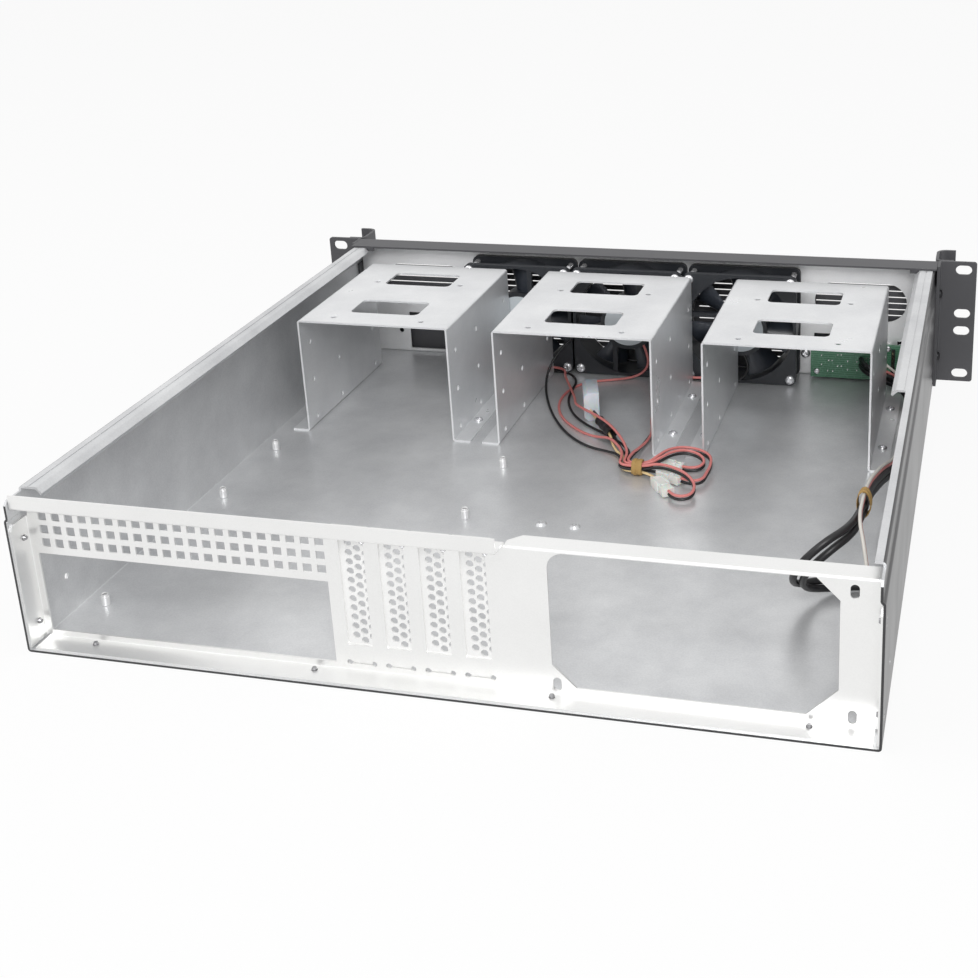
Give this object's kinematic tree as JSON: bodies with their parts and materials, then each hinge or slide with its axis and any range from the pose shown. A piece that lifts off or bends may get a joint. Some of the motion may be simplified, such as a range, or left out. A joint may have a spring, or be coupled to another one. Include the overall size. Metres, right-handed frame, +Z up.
{
  "type": "empty rackmount server case",
  "caption": "Low two-unit rack server case with its lid off: folded tray, pierced rear panel, drive brackets, fans behind the front panel, rack ears with handles.",
  "frame": {"origin": "on the ground under the middle of the case, handles included", "axes": "+X across the case, to the right as seen from the front; the front faces -Y; +Z up"},
  "size_m": [0.4826, 0.478, 0.088],
  "materials": {
    "tray_steel": "bare galvanised inside, black outside",
    "galvanised_sheet": "bright galvanised",
    "rear_panel_sheet": "pale, smooth",
    "slot_cover_sheet": "bright, brushed",
    "black_paint": "fine powder coat",
    "handle_paint": "fine powder coat",
    "plated_screw": "bright zinc",
    "black_screw": "black zinc",
    "plated_standoff": "turned",
    "fan_frame_plastic": "moulded",
    "fan_rotor_plastic": "moulded",
    "circuit_board": "solder mask",
    "white_plastic": "moulded",
    "milky_plastic": "moulded, milky",
    "dark_plastic": "moulded",
    "lamp_plastic": "clear",
    "port_metal": "bright",
    "red_wire": "cable sleeve",
    "yellow_wire": "cable sleeve",
    "black_wire": "cable sleeve",
    "white_wire": "cable sleeve",
    "paper_tie": "twisted strip"
  },
  "bodies": {
    "chassis": {"board_header": "white_plastic", "board_screws": "plated_screw", "board_spacers": "plated_standoff", "bracket_screws": "plated_screw", "bundle_tie": "paper_tie", "button_switches": "dark_plastic", "cable_plug": "dark_plastic", "control_board": "circuit_board", "data_ports": "port_metal", "drive_bracket_left": "galvanised_sheet", "drive_bracket_middle": "galvanised_sheet", "drive_bracket_right": "galvanised_sheet", "ear_screws": "black_screw", "fan_frame_1": "fan_frame_plastic", "fan_frame_2": "fan_frame_plastic", "fan_frame_3": "fan_frame_plastic", "fan_lead_1_black": "black_wire", "fan_lead_1_red": "red_wire", "fan_lead_2_black": "black_wire", "fan_lead_2_red": "red_wire", "fan_lead_3_black": "black_wire", "fan_lead_3_red": "red_wire", "fan_plug_1": "white_plastic", "fan_plug_2": "white_plastic", "fan_plug_3": "white_plastic", "fan_screws": "plated_screw", "front_cable_1": "black_wire", "front_cable_2": "black_wire", "front_panel": "black_paint", "front_wire_red": "red_wire", "front_wire_white": "white_wire", "handle_left": "handle_paint", "handle_right": "handle_paint", "harness_tie": "paper_tie", "heat_shrink": "black_wire", "inner_front_panel": "galvanised_sheet", "inner_panel_screw": "plated_screw", "motherboard_standoffs": "plated_standoff", "port_board": "circuit_board", "rack_ear_left": "black_paint", "rack_ear_right": "black_paint", "rear_panel": "rear_panel_sheet", "rear_panel_screws": "black_screw", "slot_cover_1": "slot_cover_sheet", "slot_cover_2": "slot_cover_sheet", "slot_cover_3": "slot_cover_sheet", "slot_cover_4": "slot_cover_sheet", "slot_cover_screws": "plated_screw", "status_lamps": "lamp_plastic", "supply_connector": "milky_plastic", "supply_lead_black": "black_wire", "supply_lead_yellow": "yellow_wire", "tray": "tray_steel", "wire_plugs": "white_plastic"},
    "fan_blades_1": {"fan_rotor_1": "fan_rotor_plastic"},
    "fan_blades_2": {"fan_rotor_2": "fan_rotor_plastic"},
    "fan_blades_3": {"fan_rotor_3": "fan_rotor_plastic"},
    "power_key": {"power_button": "dark_plastic"},
    "reset_key": {"reset_button": "dark_plastic"}
  },
  "joints": [
    {"name": "fan_spin_1", "type": "hinge", "parent": "chassis", "child": "fan_blades_1", "pos_m": [-0.0811, -0.1917, 0.0416], "axis": [0, 1, 0], "continuous": true},
    {"name": "fan_spin_2", "type": "hinge", "parent": "chassis", "child": "fan_blades_2", "pos_m": [0.0005, -0.1917, 0.0416], "axis": [0, 1, 0], "continuous": true},
    {"name": "fan_spin_3", "type": "hinge", "parent": "chassis", "child": "fan_blades_3", "pos_m": [0.0821, -0.1917, 0.0416], "axis": [0, 1, 0], "continuous": true},
    {"name": "power_press", "type": "slide", "parent": "chassis", "child": "power_key", "axis": [0, 1, 0], "range_m": [0, 0.001], "stiffness_N_per_m": 300, "springref_m": -0.001},
    {"name": "reset_press", "type": "slide", "parent": "chassis", "child": "reset_key", "axis": [0, 1, 0], "range_m": [0, 0.001], "stiffness_N_per_m": 300, "springref_m": -0.001}
  ]
}
